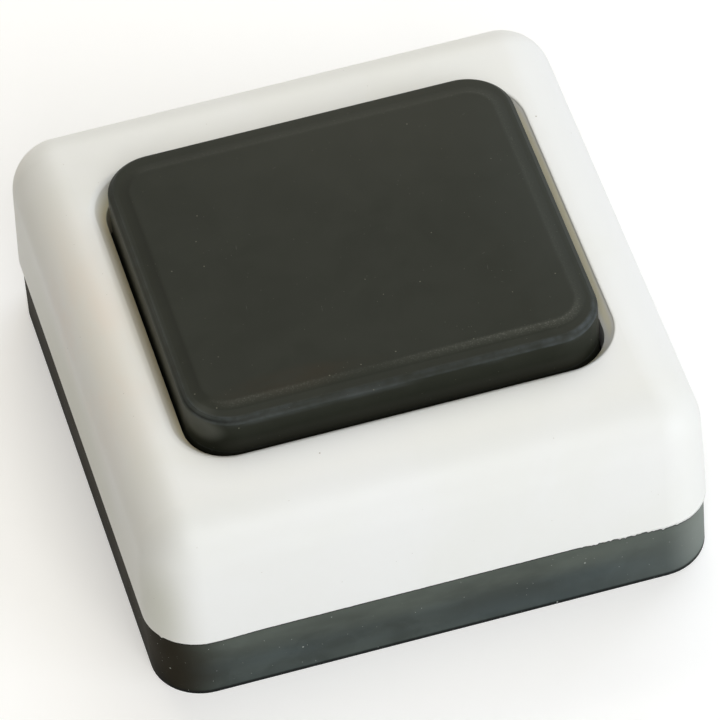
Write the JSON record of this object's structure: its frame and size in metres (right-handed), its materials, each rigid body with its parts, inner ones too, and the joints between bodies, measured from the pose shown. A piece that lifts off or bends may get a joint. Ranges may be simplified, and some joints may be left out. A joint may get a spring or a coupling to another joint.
{
  "type": "surface-mounted bell push",
  "caption": "Low square surface-mounted bell push: dark base, pale rounded cover and a large dark raised key over a sprung double-break contact set.",
  "frame": {"origin": "centre of the base's wall face", "axes": "+Z out of the wall towards the key, +Y up the wall, +X along the key's long side"},
  "size_m": [0.06, 0.063, 0.0269],
  "materials": {
    "base_plastic": "black moulded plastic, satin, dusty",
    "cover_plastic": "warm white moulded plastic, soft gloss",
    "key_plastic": "dark grey-green moulded plastic, satin",
    "carrier_plastic": "natural moulded insulator",
    "spring_steel": "bright drawn wire",
    "contact_bronze": "rolled bronze strip",
    "contact_silver": "silver-faced rivet",
    "strip_brass": "stamped brass strip",
    "plated_steel": "zinc-plated steel"
  },
  "bodies": {
    "case": {"base": "base_plastic", "cover": "cover_plastic", "return_spring": "spring_steel", "fixed_contact_left": "strip_brass", "fixed_tip_left": "contact_silver", "terminal_screw_left": "plated_steel", "wire_clamp_left": "plated_steel", "terminal_nut_left": "plated_steel", "anchor_screw_left": "plated_steel", "fixed_contact_right": "strip_brass", "fixed_tip_right": "contact_silver", "terminal_screw_right": "plated_steel", "wire_clamp_right": "plated_steel", "terminal_nut_right": "plated_steel", "anchor_screw_right": "plated_steel"},
    "key": {"push_key": "key_plastic", "contact_carrier": "carrier_plastic", "pressure_spring": "spring_steel"},
    "bridge": {"contact_bridge": "contact_bronze", "moving_tip_left": "contact_silver", "moving_tip_right": "contact_silver"}
  },
  "joints": [
    {"name": "key_press", "type": "slide", "parent": "case", "child": "key", "axis": [0, 0, -1], "range_m": [0, 0.0024], "stiffness_N_per_m": 600, "springref_m": -0.004, "deforming": ["return_spring"]},
    {"name": "bridge_lift", "type": "slide", "parent": "key", "child": "bridge", "axis": [0, 0, 1], "range_m": [0, 0.0007], "stiffness_N_per_m": 400, "springref_m": -0.0015, "deforming": ["pressure_spring"]}
  ],
  "couplings": [
    {"joint": "bridge_lift", "follows": "key_press", "ratio": 0.2916}
  ]
}
